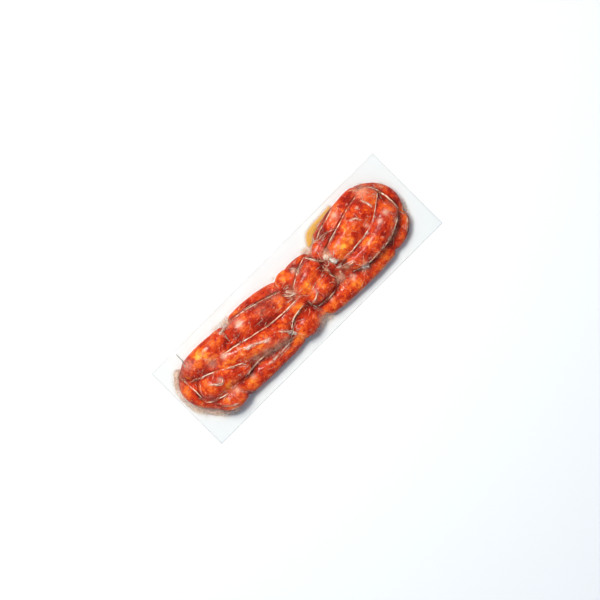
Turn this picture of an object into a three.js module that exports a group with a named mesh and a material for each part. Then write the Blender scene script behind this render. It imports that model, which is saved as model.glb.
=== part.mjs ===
// A string of sausage links in a clear vacuum pack, lying flat. Millimetres, +Z up.
// The origin is on the table under the middle of the sealed film, and +X runs along the pack.
// The links lie two deep between a flat base film and a film that the vacuum draws down over them.
// The pack is sealed, so it is one closed solid: film, links and the flat flange all round.
import * as THREE from 'three';

// The sealed film
const packLength = 381;
const packWidth = 121;
const flangeThickness = 0.6;
const flangeRipple = 0.5;          // how far the flange ripples up off the table, either way of its mean
const rippleLength = 74;

// The tightest hollow that each film is drawn into, as a radius. Over wider gaps the upper film
// hangs in a web, which sags this far below the line of a larger ball.
const drawnRadius = 7;
const webRadius = 18;
const webSag = 6;
const baseRadius = 26;
const softenings = 2;              // passes that round off what the film would not follow sharply

// Facets: the drawn film has two cells for each cell of the base film,
// and both are worked out on a grid twice as fine as the drawn film's facets.
const cellsAlong = 112;
const cellsAcross = 36;
const finer = 2;

// Shapes of the links
const linkStep = 1.5;              // spacing of the rounds that a link is swept from
const squareness = 2.3;            // power of a link's section: 2 is round, and the vacuum squares it
const endTaper = 0.1;              // how much slimmer a link is at its ends
const lowerPress = 0.92;           // height of a link's section as a share of its width, in each layer
const upperPress = 0.84;
const tableFlat = 1.2;             // how far the lower links are pressed flat on the table

// Each link: start, middle and end of its centre line in plan, and its thickness as a radius,
// or two where it narrows. An upper link also has the height of its centre line above the table.
const lowerLinks = {
  leftEndBend: { path: [[-148.5, 32], [-169, 6], [-139, -31]], thick: [13.5] },
  leftFront: { path: [[-116.5, -33], [-74.5, -33.5], [-34.5, -34]], thick: [12.8] },
  middleFront: { path: [[-20.5, -29.5], [-14, -29.5], [-8, -29.5]], thick: [16.5] },
  rightFront: { path: [[23.5, -34.5], [71.5, -36.5], [117.5, -36.5]], thick: [12.8] },
  rightFrontCorner: { path: [[133, -34], [147, -29], [157.5, -20]], thick: [12] },
  rightEndBend: { path: [[160.5, -6], [161.5, 17], [142.5, 36.5]], thick: [13] },
  rightBack: { path: [[127.5, 38.5], [103.5, 36.5], [75, 32]], thick: [12.5] },
  waistBack: { path: [[37.5, 24], [23.5, 24.5], [11.5, 24]], thick: [12.5] },
  leftBack: { path: [[-12.5, 25.5], [-38.5, 30.5], [-70.5, 33.5]], thick: [12.2] },
  leftBackEnd: { path: [[-96.5, 31], [-112.5, 31], [-130.5, 30]], thick: [13] },
  leftCore: { path: [[-148.5, 2], [-116.5, 4], [-86.5, 2]], thick: [13.5] },
  middleCore: { path: [[-60.5, 2], [-36.5, 0], [-6.5, 0]], thick: [13.5] },
  waistCore: { path: [[19.5, -4], [37.5, -4], [59.5, 2]], thick: [13.5] },
  pocketFront: { path: [[45, -21], [53, -21], [62, -23]], thick: [9.5] },
  pocketMiddle: { path: [[-8, 7], [-3, 12], [2, 19]], thick: [9.5] },
  rightCore: { path: [[85.5, 6], [109.5, 4], [137.5, 4]], thick: [14] },
};
const upperLinks = {
  leftBackTop: { path: [[-149.5, 30.5], [-126.5, 30.5], [-103.5, 30]], thick: [14.5], height: 30 },
  leftMiddleTop: { path: [[-76.5, 23], [-48.5, 19], [-19.5, 11]], thick: [15, 11.5], height: 31 },
  leftEndTop: { path: [[-148.5, -2], [-132.5, -5], [-104.5, -15]], thick: [17.5, 9.5], height: 29 },
  leftFrontTop: { path: [[-111.5, 8], [-78.5, -3], [-42.5, -15]], thick: [13.5], height: 31 },
  leftCornerTop: { path: [[-151, -25], [-143, -31], [-130, -33]], thick: [13], height: 19 },
  middleShort: { path: [[-30.5, -7], [-14.5, -6], [1.5, -5]], thick: [9], height: 28 },
  waistBackTip: { path: [[0.5, 28], [5.5, 28.5], [12.5, 28]], thick: [9.2], height: 23 },
  waistTop: { path: [[13, 4.5], [26.5, 9.5], [39, 14]], thick: [13], height: 31 },
  waistFrontTop: { path: [[17.5, -13], [29.5, -12], [40.5, -11.5]], thick: [11.5], height: 30 },
  rightMiddleTop: { path: [[77.5, 7], [109.5, 13.5], [143.5, 24]], thick: [17], height: 31 },
  rightFrontTop: { path: [[81.5, -17], [117.5, -17], [147.5, -3]], thick: [12, 17], height: 31 },
  rightBackTop: { path: [[89.5, 33.5], [113.5, 38.5], [135.5, 40.5]], thick: [11], height: 27 },
  rightBackStub: { path: [[57.5, 24], [67.5, 26], [77.5, 27]], thick: [9], height: 22 },
};

// The rounds that a link is swept from, each with a centre, a radius and how far it is pressed
function roundsOf(link, press, height) {
  const [start, middle, end] = link.path.map(([x, y]) => new THREE.Vector3(x, y, height));
  const bow = middle.clone().multiplyScalar(2).sub(start.clone().add(end).multiplyScalar(0.5));
  const line = new THREE.QuadraticBezierCurve3(start, bow, end);
  const steps = Math.max(2, Math.ceil(line.getLength() / linkStep));
  const [first, last] = [link.thick[0], link.thick.at(-1)];
  return line.getPoints(steps).map((centre, k) => {
    const fromMiddle = Math.abs((2 * k) / steps - 1);
    const full = THREE.MathUtils.lerp(first, last, k / steps);
    return { centre, radius: full * (1 - endTaper * fromMiddle ** 3), press };
  });
}

const lowerRounds = Object.values(lowerLinks).flatMap((link) =>
  roundsOf(link, lowerPress, link.thick[0] * lowerPress - tableFlat));
const upperRounds = Object.values(upperLinks).flatMap((link) => roundsOf(link, upperPress, link.height));

// Highest and lowest point of the links over a place on the table, or null where there is none
function linkSpanAt(x, y, rounds) {
  let span = null;
  for (const { centre, radius, press } of rounds) {
    const off = Math.hypot(x - centre.x, y - centre.y);
    if (off >= radius) continue;
    const half = press * (radius ** squareness - off ** squareness) ** (1 / squareness);
    span ??= { top: -Infinity, bottom: Infinity };
    span.top = Math.max(span.top, centre.z + half);
    span.bottom = Math.min(span.bottom, centre.z - half);
  }
  return span;
}

// The flange lies on the table and ripples a little
function flangeHeight(x, y) {
  const along = Math.sin((2 * Math.PI * (x + 0.4 * y)) / rippleLength);
  const across = Math.cos((2 * Math.PI * (y - 0.2 * x)) / (1.3 * rippleLength));
  return flangeRipple * (1 + along * across);
}

// The fine grid that both films are worked out on. It runs on past the pack by the reach of the
// largest ball, which rolls on the table there.
const packColumns = cellsAlong * finer;
const packRows = cellsAcross * finer;
const margin = Math.ceil((baseRadius * packColumns) / packLength);
const lastColumn = margin + packColumns;
const lastRow = margin + packRows;
const columns = lastColumn + margin;
const rows = lastRow + margin;
const xAt = (i) => packLength * ((i - margin) / packColumns - 0.5);
const yAt = (j) => packWidth * ((j - margin) / packRows - 0.5);
const indexOf = (i, j) => j * (columns + 1) + i;

function onGrid(heightAt) {
  const heights = new Float64Array((columns + 1) * (rows + 1));
  for (let j = 0; j <= rows; j++) {
    for (let i = 0; i <= columns; i++) heights[indexOf(i, j)] = heightAt(i, j);
  }
  return heights;
}

// The upper surface that a ball of this radius can reach as it rolls over the heights:
// a film touches all that stands up, and bridges each hollow that is tighter than the ball.
function rollBall(heights, radius) {
  const [dx, dy] = [packLength / packColumns, packWidth / packRows];
  const cap = [];
  for (let b = -Math.floor(radius / dy); b <= radius / dy; b++) {
    for (let a = -Math.floor(radius / dx); a <= radius / dx; a++) {
      const rise = radius ** 2 - (a * dx) ** 2 - (b * dy) ** 2;
      if (rise > 0) cap.push({ a, b, rise: Math.sqrt(rise) });
    }
  }
  const extreme = (from, sign) => onGrid((i, j) => {
    let best = -Infinity;
    for (const { a, b, rise } of cap) {
      if (i + a < 0 || i + a > columns || j + b < 0 || j + b > rows) continue;
      best = Math.max(best, sign * from[indexOf(i + a, j + b)] + rise);
    }
    return sign * best;
  });
  return extreme(extreme(heights, 1), -1);
}

// One pass of each height towards the mean of its eight neighbours
function soften(heights) {
  const weights = [1, 2, 1];
  return onGrid((i, j) => {
    let sum = 0;
    let total = 0;
    for (let b = -1; b <= 1; b++) {
      for (let a = -1; a <= 1; a++) {
        if (i + a < 0 || i + a > columns || j + b < 0 || j + b > rows) continue;
        const weight = weights[a + 1] * weights[b + 1];
        sum += weight * heights[indexOf(i + a, j + b)];
        total += weight;
      }
    }
    return sum / total;
  });
}

// Both films of the pack, as heights on the fine grid
function drawFilms() {
  const rounds = [...lowerRounds, ...upperRounds];
  const spans = new Map();
  const spanAt = (i, j) => {
    const k = indexOf(i, j);
    if (!spans.has(k)) spans.set(k, linkSpanAt(xAt(i), yAt(j), rounds));
    return spans.get(k);
  };
  const flange = onGrid((i, j) => flangeHeight(xAt(i), yAt(j)));
  const linkTop = onGrid((i, j) => spanAt(i, j)?.top ?? 0);
  const linkBottom = onGrid((i, j) => spanAt(i, j)?.bottom ?? flange[indexOf(i, j)]);
  const underside = rollBall(linkBottom.map((height) => -height), baseRadius);
  const base = underside.map((depth) => Math.max(0, -depth));
  const overBase = linkTop.map((height, k) => Math.max(height, base[k] + flangeThickness));
  const web = rollBall(overBase, webRadius);
  let drawn = rollBall(overBase, drawnRadius).map((height, k) => Math.max(height, web[k] - webSag));
  for (let pass = 0; pass < softenings; pass++) drawn = soften(drawn);
  return { drawn, base };
}

// One closed solid between the two films, with the thin wall of the flange's edge all round
function packGeometry({ drawn, base }) {
  const positions = [];
  const faces = [];
  const [topStep, baseStep] = [finer, 2 * finer];

  // The points of one film, looked up by their place on the fine grid
  const addPoints = (heights, step) => {
    const pointAt = new Map();
    for (let j = margin; j <= lastRow; j += step) {
      for (let i = margin; i <= lastColumn; i += step) {
        pointAt.set(indexOf(i, j), positions.length / 3);
        positions.push(xAt(i), yAt(j), heights[indexOf(i, j)]);
      }
    }
    return pointAt;
  };
  const topAt = addPoints(drawn, topStep);
  const baseAt = addPoints(base, baseStep);

  // A cell is split along the diagonal that climbs least, so that ridges stay whole
  const addCells = (heights, step, pointAt, facesUp) => {
    for (let j = margin; j < lastRow; j += step) {
      for (let i = margin; i < lastColumn; i += step) {
        const places = [[i, j], [i + step, j], [i + step, j + step], [i, j + step]];
        const corners = places.map(([column, row]) => indexOf(column, row));
        const [a, b, c, d] = corners.map((k) => pointAt.get(k));
        const [za, zb, zc, zd] = corners.map((k) => heights[k]);
        const alongFirst = Math.abs(za - zc) < Math.abs(zb - zd);
        const halves = alongFirst ? [[a, b, c], [a, c, d]] : [[a, b, d], [b, c, d]];
        for (const [p, q, r] of halves) faces.push(...(facesUp ? [p, q, r] : [p, r, q]));
      }
    }
  };
  addCells(drawn, topStep, topAt, true);
  addCells(base, baseStep, baseAt, false);

  // The rim, once round: two cells of the drawn film over one of the base film
  const rim = [];
  for (let i = margin; i < lastColumn; i += topStep) rim.push(indexOf(i, margin));
  for (let j = margin; j < lastRow; j += topStep) rim.push(indexOf(lastColumn, j));
  for (let i = lastColumn; i > margin; i -= topStep) rim.push(indexOf(i, lastRow));
  for (let j = lastRow; j > margin; j -= topStep) rim.push(indexOf(margin, j));
  for (let n = 0; n < rim.length; n += 2) {
    const [here, half, next] = [rim[n], rim[n + 1], rim[(n + 2) % rim.length]];
    faces.push(baseAt.get(here), baseAt.get(next), topAt.get(half));
    faces.push(baseAt.get(here), topAt.get(half), topAt.get(here));
    faces.push(baseAt.get(next), topAt.get(next), topAt.get(half));
  }

  const geometry = new THREE.BufferGeometry();
  geometry.setAttribute('position', new THREE.Float32BufferAttribute(positions, 3));
  geometry.setIndex(faces);
  geometry.computeVertexNormals();
  return geometry;
}

const filmOverSausage = new THREE.MeshStandardMaterial({ color: 0xb8401f, roughness: 0.25, metalness: 0 });

function makePack() {
  const pack = new THREE.Mesh(packGeometry(drawFilms()), filmOverSausage);
  pack.name = 'vacuum_pack';
  return pack;
}

const sausageLinks = new THREE.Group();
sausageLinks.name = 'string_of_sausage_links';
sausageLinks.add(makePack());

export default sausageLinks;
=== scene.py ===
import math
import bpy
import numpy as np
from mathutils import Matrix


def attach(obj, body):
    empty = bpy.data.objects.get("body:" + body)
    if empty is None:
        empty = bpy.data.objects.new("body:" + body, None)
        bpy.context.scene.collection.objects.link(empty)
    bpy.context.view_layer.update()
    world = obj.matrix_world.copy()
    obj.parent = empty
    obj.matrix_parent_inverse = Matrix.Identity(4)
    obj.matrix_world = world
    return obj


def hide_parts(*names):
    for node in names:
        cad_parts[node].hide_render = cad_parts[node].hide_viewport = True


# A string of sausage links in a clear vacuum pack, seen from straight above.
# The tables are in millimetres, as the solid is made, and meshes are turned to metres when they are built.
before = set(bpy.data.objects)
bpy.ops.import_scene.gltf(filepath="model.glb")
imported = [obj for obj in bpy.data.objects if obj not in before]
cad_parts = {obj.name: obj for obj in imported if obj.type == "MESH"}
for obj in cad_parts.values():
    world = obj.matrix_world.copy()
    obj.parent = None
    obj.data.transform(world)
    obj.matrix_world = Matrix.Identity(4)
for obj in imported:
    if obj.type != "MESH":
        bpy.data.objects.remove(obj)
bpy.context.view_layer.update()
mm = 0.001
print("frame loaded")

# The pack and its links repeat the solid's own sizes.
pack = {"length": 381, "width": 121, "sealed": 0.3}

linkShape = {
    "squareness": 2.3,     # power of a link's section: 2 is round, and the vacuum squares it
    "endTaper": 0.1,       # how much slimmer a link is at its ends
    "lowerPress": 0.92,    # height of a section as a share of its width, in each layer
    "upperPress": 0.84,
    "tableFlat": 1.2,      # how far the lower links are pressed flat
}

# Each link: start, middle and end of its centre line in plan, and its radius, or two where it narrows.
# An upper link also has the height of its centre line.
lowerLinks = {
    "leftEndBend": ([(-148.5, 32), (-169, 6), (-139, -31)], [13.5]),
    "leftFront": ([(-116.5, -33), (-74.5, -33.5), (-34.5, -34)], [12.8]),
    "middleFront": ([(-20.5, -29.5), (-14, -29.5), (-8, -29.5)], [16.5]),
    "rightFront": ([(23.5, -34.5), (71.5, -36.5), (117.5, -36.5)], [12.8]),
    "rightFrontCorner": ([(133, -34), (147, -29), (157.5, -20)], [12]),
    "rightEndBend": ([(160.5, -6), (161.5, 17), (142.5, 36.5)], [13]),
    "rightBack": ([(127.5, 38.5), (103.5, 36.5), (75, 32)], [12.5]),
    "waistBack": ([(37.5, 24), (23.5, 24.5), (11.5, 24)], [12.5]),
    "leftBack": ([(-12.5, 25.5), (-38.5, 30.5), (-70.5, 33.5)], [12.2]),
    "leftBackEnd": ([(-96.5, 31), (-112.5, 31), (-130.5, 30)], [13]),
    "leftCore": ([(-148.5, 2), (-116.5, 4), (-86.5, 2)], [13.5]),
    "middleCore": ([(-60.5, 2), (-36.5, 0), (-6.5, 0)], [13.5]),
    "waistCore": ([(19.5, -4), (37.5, -4), (59.5, 2)], [13.5]),
    "pocketFront": ([(45, -21), (53, -21), (62, -23)], [9.5]),
    "pocketMiddle": ([(-8, 7), (-3, 12), (2, 19)], [9.5]),
    "rightCore": ([(85.5, 6), (109.5, 4), (137.5, 4)], [14]),
}
upperLinks = {
    "leftBackTop": ([(-149.5, 30.5), (-126.5, 30.5), (-103.5, 30)], [14.5], 30),
    "leftMiddleTop": ([(-76.5, 23), (-48.5, 19), (-19.5, 11)], [15, 11.5], 31),
    "leftEndTop": ([(-148.5, -2), (-132.5, -5), (-104.5, -15)], [17.5, 9.5], 29),
    "leftFrontTop": ([(-111.5, 8), (-78.5, -3), (-42.5, -15)], [13.5], 31),
    "leftCornerTop": ([(-151, -25), (-143, -31), (-130, -33)], [13], 19),
    "middleShort": ([(-30.5, -7), (-14.5, -6), (1.5, -5)], [9], 28),
    "waistBackTip": ([(0.5, 28), (5.5, 28.5), (12.5, 28)], [9.2], 23),
    "waistTop": ([(13, 4.5), (26.5, 9.5), (39, 14)], [13], 31),
    "waistFrontTop": ([(17.5, -13), (29.5, -12), (40.5, -11.5)], [11.5], 30),
    "rightMiddleTop": ([(77.5, 7), (109.5, 13.5), (143.5, 24)], [17], 31),
    "rightFrontTop": ([(81.5, -17), (117.5, -17), (147.5, -3)], [12, 17], 31),
    "rightBackTop": ([(89.5, 33.5), (113.5, 38.5), (135.5, 40.5)], [11], 27),
    "rightBackStub": ([(57.5, 24), (67.5, 26), (77.5, 27)], [9], 22),
}


# The centre line of a link as points, from a parabola through its start, middle and end.
def centreLine(path, height, steps):
    start, middle, end = (np.array(p, float) for p in path)
    bow = 2 * middle - (start + end) / 2
    t = np.linspace(0, 1, steps + 1)[:, None]
    line = (1 - t) ** 2 * start + 2 * t * (1 - t) * bow + t ** 2 * end
    return np.column_stack([line, np.full(steps + 1, height)])


# Every link with its centre line, radius along it, and press.
def layOutLinks(steps=60):
    along = np.linspace(0, 1, steps + 1)
    taper = 1 - linkShape["endTaper"] * np.abs(2 * along - 1) ** 3
    laid = []
    for links, press in ((lowerLinks, linkShape["lowerPress"]), (upperLinks, linkShape["upperPress"])):
        for path, thick, *given in links.values():
            height = given[0] if given else thick[0] * press - linkShape["tableFlat"]
            radius = (thick[0] + (thick[-1] - thick[0]) * along) * taper
            laid.append({"line": centreLine(path, height, steps), "radius": radius, "press": press})
    return laid


linksLaid = layOutLinks()

# The fine grid that the film's height is worked out on.
grid = {"columns": 474, "rows": 150}
gridX = np.linspace(-pack["length"] / 2, pack["length"] / 2, grid["columns"] + 1)
gridY = np.linspace(-pack["width"] / 2, pack["width"] / 2, grid["rows"] + 1)
cell = gridX[1] - gridX[0]
placeX, placeY = np.meshgrid(gridX, gridY)


# Highest and lowest point of the links over each place of the grid.
def linkHeights():
    top = np.full(placeX.shape, -np.inf)
    bottom = np.full(placeX.shape, np.inf)
    power = linkShape["squareness"]
    for link in linksLaid:
        for (cx, cy, cz), radius in zip(link["line"], link["radius"]):
            i0, i1 = np.searchsorted(gridX, (cx - radius, cx + radius))
            j0, j1 = np.searchsorted(gridY, (cy - radius, cy + radius))
            off = np.hypot(placeX[j0:j1, i0:i1] - cx, placeY[j0:j1, i0:i1] - cy)
            rise = radius ** power - off ** power
            half = np.where(rise > 0, link["press"] * np.maximum(rise, 0) ** (1 / power), np.nan)
            np.fmax(top[j0:j1, i0:i1], cz + half, out=top[j0:j1, i0:i1])
            np.fmin(bottom[j0:j1, i0:i1], cz - half, out=bottom[j0:j1, i0:i1])
    return top, bottom


# The surface that a ball can reach as it rolls over the heights, with level ground all round:
# a film bridges each hollow that is tighter than the ball.
def rollBall(heights, radius, ground=0.0):
    reach = int(radius / cell)
    steps = range(-reach, reach + 1)
    cap = [(a, b, radius ** 2 - (a * a + b * b) * cell ** 2) for a in steps for b in steps]
    cap = [(a, b, math.sqrt(rise)) for a, b, rise in cap if rise > 0]

    def extreme(source):
        high, wide = source.shape[0] - 2 * reach, source.shape[1] - 2 * reach
        best = np.full((high, wide), -np.inf)
        for a, b, rise in cap:
            shifted = source[reach + a:reach + a + high, reach + b:reach + b + wide]
            np.maximum(best, shifted + rise, out=best)
        return best
    return -extreme(-extreme(np.pad(heights, 2 * reach, constant_values=ground)))


# Rounds a grid off by so many passes of a small 1-2-1 mean.
def soften(heights, passes):
    for _ in range(passes):
        wide = np.pad(heights, 1, mode="edge")
        rows = (wide[:-2] + 2 * wide[1:-1] + wide[2:]) / 4
        heights = (rows[:, :-2] + 2 * rows[:, 1:-1] + rows[:, 2:]) / 4
    return heights


# Smooth seeded noise from -1 to 1, with lumps of the given size, over the grid or at given places.
def lumps(sizeX, sizeY, seed, x=placeX, y=placeY):
    draw = np.random.RandomState(seed)
    lattice = draw.uniform(-1, 1, (64, 64))
    u, v = x / sizeX + 17.3, y / sizeY + 23.7
    iu, iv = np.floor(u).astype(int), np.floor(v).astype(int)
    fu, fv = u - iu, v - iv
    fu, fv = fu * fu * (3 - 2 * fu), fv * fv * (3 - 2 * fv)
    low = lattice[iv % 64, iu % 64] * (1 - fu) + lattice[iv % 64, (iu + 1) % 64] * fu
    high = lattice[(iv + 1) % 64, iu % 64] * (1 - fu) + lattice[(iv + 1) % 64, (iu + 1) % 64] * fu
    return low * (1 - fv) + high * fv


# How near each place is to the border between two cells of a crumple, 1 on the border and 0 away from it.
def crumpleWeb(sizeX, sizeY, lineWidth, seed):
    x = placeX + 2.2 * lumps(9, 9, seed + 1)
    y = placeY + 2.2 * lumps(9, 9, seed + 2)
    u, v = x / sizeX + 40, y / sizeY + 40
    iu, iv = np.floor(u).astype(int), np.floor(v).astype(int)
    draw = np.random.RandomState(seed)
    jitterU, jitterV = draw.uniform(0.05, 0.95, (2, 128, 128))
    nearest = np.full(x.shape, 1e9)
    second = np.full(x.shape, 1e9)
    for a in (-1, 0, 1):
        for b in (-1, 0, 1):
            cu = iu + a + jitterU[(iv + b) % 128, (iu + a) % 128]
            cv = iv + b + jitterV[(iv + b) % 128, (iu + a) % 128]
            distance = np.hypot((cu - u) * sizeX, (cv - v) * sizeY)
            closer = distance < nearest
            second = np.where(closer, nearest, np.minimum(second, distance))
            nearest = np.where(closer, distance, nearest)
    return np.exp(-((second - nearest) / lineWidth) ** 2)


# Points less than a millimetre apart on a smooth line through the given ones, which wanders a little.
def smoothLine(points, spacing=0.8, wander=0.35):
    points = np.array(points, float)
    ends = np.vstack([2 * points[0] - points[1], points, 2 * points[-1] - points[-2]])
    out = []
    for k in range(1, len(ends) - 2):
        p0, p1, p2, p3 = ends[k - 1:k + 3]
        steps = max(2, int(np.linalg.norm(p2 - p1) / spacing))
        t = np.linspace(0, 1, steps, endpoint=False)[:, None]
        out.append(0.5 * (2 * p1 + (p2 - p0) * t + (2 * p0 - 5 * p1 + 4 * p2 - p3) * t ** 2
                          + (3 * p1 - p0 - 3 * p2 + p3) * t ** 3))
    out.append(points[-1:])
    line = np.vstack(out)
    line[:, 0] += wander * lumps(5, 5, 71, line[:, 0], line[:, 1])
    line[:, 1] += wander * lumps(5, 5, 72, line[:, 0], line[:, 1])
    return line


# How far along a line each of its points is.
def travelledAlong(line):
    return np.concatenate([[0], np.cumsum(np.linalg.norm(np.diff(line, axis=0), axis=1))])


# The folds that show in the film: how strong each is, its route in plan, and for some a share of the milk.
filmFolds = {
    "rightUpperSeam": (1.0, [(61, 15), (81, 22), (101, 28), (121, 34), (139, 37)]),
    "rightLowerSeam": (0.8, [(61, -8), (101, -5), (121, -2), (136, 5), (151, 16), (159, 22)], 0.5),
    "rightBackNear": (0.7, [(61, 33), (81, 30), (91, 27)]),
    "rightBackFar": (0.8, [(66, 33), (76, 38), (91, 42), (106, 47)]),
    "rightEndUpright": (1.0, [(161, 22), (164, 8), (164, -10)]),
    "rightEndRound": (0.6, [(148, 41), (157, 32), (163, 20)]),
    "rightEndCross": (0.5, [(137, 44), (146, 41), (153, 42)]),
    "pinchRight": (1.0, [(63, -12), (71, -15), (81, -18)]),
    "rightFrontSeam": (0.8, [(71, -25), (86, -30), (96, -31), (126, -29), (141, -24), (158, -15)], 0.7),
    "rightCornerShort": (0.9, [(160, -13), (164, -19), (167, -24)]),
    "rightCornerEdge": (0.7, [(166, -22), (158, -31), (149, -39)]),
    "bigLinkMarkA": (0.7, [(111, 22), (117, 18), (121, 12)]),
    "bigLinkMarkB": (0.8, [(126, 28), (129, 25)]),
    "bigLinkMarkC": (0.6, [(137, 30), (140, 20), (141, 12)]),
    "waistBackSeam": (0.7, [(5, 12), (21, 21), (31, 26), (41, 29)]),
    "waistEnd": (1.0, [(41, 28), (49, 15), (56, 8)]),
    "waistPocket": (0.8, [(51, 4), (49, -8), (51, -18), (44, -23)]),
    "waistMiddle": (0.5, [(16, -8), (20, -7), (26, -4), (44, -2)]),
    "waistFrontA": (0.7, [(11, -18), (16, -16), (23, -12)]),
    "waistFrontB": (0.8, [(11, -25), (25, -27), (41, -26)]),
    "waistNotch": (0.5, [(7, -10), (8, -18), (10, -30), (13, -42)]),
    "leftBackSeam": (0.8, [(-84, 38), (-59, 35), (-29, 27), (-9, 20)], 0.7),
    "leftMiddleSeam": (1.0, [(-114, 15), (-94, 12), (-69, 6), (-49, 2), (-19, -1), (1, 0)]),
    "leftEndSeam": (0.8, [(-164, 20), (-149, 14), (-134, 8), (-119, 0), (-99, -10)], 0.75),
    "leftFrontSeam": (0.8, [(-109, -23), (-79, -21), (-49, -28), (-31, -32)]),
    "middleShortSeam": (1.0, [(-31, -22), (-19, -14), (0, -11)]),
    "middleShortUp": (0.7, [(-45, -12), (-37, -19), (-30, -24)]),
    "middleEndCurl": (0.8, [(-12, 16), (-5, 9), (3, 5)]),
    "leftEndRound": (0.8, [(-169, 42), (-167, 20), (-166, 0), (-167, -10), (-159, -17), (-149, -20), (-139, -23)]),
    "leftEndTip": (0.9, [(-168, 41), (-161, 36)]),
    "leftBackCross": (0.7, [(-91, 40), (-93, 29), (-94, 18)]),
    "leftFrontCross": (0.7, [(-129, -22), (-124, -35), (-115, -44)]),
    "leftCornerCross": (0.9, [(-159, -20), (-149, -33), (-139, -40)]),
    "leftEndHook": (0.7, [(-149, 2), (-137, -8), (-130, -4)]),
    # the next two streaks are painted highlights, drawn as milky folds
    "leftHighlightStreak": (0.6, [(-87, 0), (-74, -3), (-61, -11)], 0.7),
    "leftFrontHighlightStreak": (0.7, [(-79, -32), (-59, -33), (-39, -33)], 0.8),
    "leftRimA": (0.5, [(-181, 24), (-175, 33), (-167, 41)]),
    "leftRimB": (0.6, [(-177, -20), (-168, -29), (-156, -36), (-143, -43)]),
    "leftRimC": (0.4, [(-181, -4), (-178, -14), (-171, -24)]),
}
foldShape = {"rise": 0.5, "width": 1.1, "endTaper": 7}   # mm
foldLines = {name: smoothLine(fold[1]) for name, fold in filmFolds.items()}


# How heavy a fold is along its line, fading to a quarter at the ends.
def foldHeft(name):
    travelled = travelledAlong(foldLines[name])
    fromEnd = np.minimum(travelled, travelled[-1] - travelled)
    return filmFolds[name][0] * np.clip(0.25 + fromEnd / foldShape["endTaper"], 0, 1)


# Adds up the folds as a ridge over the grid, 1 along the crest of a strong one.
def foldRidges():
    ridge = np.zeros(placeX.shape)
    reach = 4 * foldShape["width"]
    for name, line in foldLines.items():
        i0, i1 = np.searchsorted(gridX, (line[:, 0].min() - reach, line[:, 0].max() + reach))
        j0, j1 = np.searchsorted(gridY, (line[:, 1].min() - reach, line[:, 1].max() + reach))
        x, y = placeX[j0:j1, i0:i1], placeY[j0:j1, i0:i1]
        here = np.zeros(x.shape)
        for (px, py), heft in zip(line, foldHeft(name)):
            squared = ((x - px) ** 2 + (y - py) ** 2) / foldShape["width"] ** 2
            np.maximum(here, heft * np.exp(-squared), out=here)
        ridge[j0:j1, i0:i1] = np.maximum(ridge[j0:j1, i0:i1], here)
    return ridge


filmShape = {
    "drawnRadius": 7,        # tightest hollow that the upper film is drawn into, mm
    "webRadius": 18,         # over wider gaps it hangs in a web
    "webSag": 6,
    "baseRadius": 26,
    "overLinks": 0.75,       # the film's middle over the links' plain shape
    "leastOverLinks": 0.6,
    "flangeRipple": 0.5,
    "rippleLength": 74,
    "crumpleRise": 0.3,
    "sealInset": 4.5,        # the seal line, in from the cut edge
    "sealWidth": 0.7,
    "sealRise": 0.18,
    "overNeck": 0.7,         # the film over a neck of casing
    "overBridge": 4.2,       # and over the meat's plain outer form, where it bridges a groove
    "skirtRadius": 14,       # how hollow the slope is where the film stands off the table
}
coreShape = {"radius": 15, "sink": 0.25, "underFilm": 0.75, "leastHeight": 11, "clearCells": 2}
# Yellow fat that ran along the back edge and lies there in a low swelling of the film.
oilPool = {"routes": [[(56, 36), (60, 41.5), (65, 46), (73, 48), (88, 49), (105, 49.8)],
                      [(59, 37), (63, 40.5), (68, 43), (76, 45.5)]],
           "width": 3.4, "height": 6, "highest": 20}
# Marks where the film is creased white, some of them painted highlights where it glares: from and to in plan, how
# wide, and how strong.
whiteCreasesAndHighlights = [
    (-89, 1.5, -77, -1.5, 1.7, 1.0), (-85, -1.5, -72, -5, 1.2, 1.0), (-76, -3.5, -60, -9.5, 1.2, 1.0),
    (-66, -9.5, -56, -11, 1.5, 0.9), (-83, -32.5, -64, -33, 1.7, 1.0), (-68, -33, -38, -31.5, 1.1, 1.0),
    (-74, -35.4, -45, -35, 1.0, 0.7), (-110, -22.6, -89, -20.2, 1.2, 0.8), (-77, 29, -65, 26, 2.6, 0.8),
    (-116, 15, -105, 12, 2.0, 0.7), (-149, 2, -138, -6, 1.0, 0.6), (-140, -5.5, -134, -10, 1.7, 0.6),
    (59.5, -7, 68, -11, 1.8, 1.0), (65, -10, 81, -16, 1.2, 0.9), (133, -2.5, 137.5, -5, 2.8, 0.45),
    (146, 1, 151, -3, 3.2, 0.45), (19.5, 32, 24.5, 25, 1.5, 0.6), (120, 3.5, 123, 0, 2.4, 0.5),
    (109, 22.5, 115.5, 17, 1.1, 0.7), (117, 18, 122, 10, 1.0, 0.6), (125.5, 28, 129.5, 24, 1.5, 0.6),
    (137, 30, 142, 15, 1.1, 0.7), (41, 29, 50, 14, 1.0, 0.8), (65.5, -27, 69.5, -32, 1.3, 0.5),
    (-35.5, -20, -29.5, -31, 1.6, 0.6), (58, 13, 66, 1, 3.6, 0.6), (60, 8, 68, -3, 2.4, 0.7),
    (83, -28, 91, -32, 2.4, 0.6), (-38, -25, -28, -28, 1.6, 0.5),
]
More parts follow.
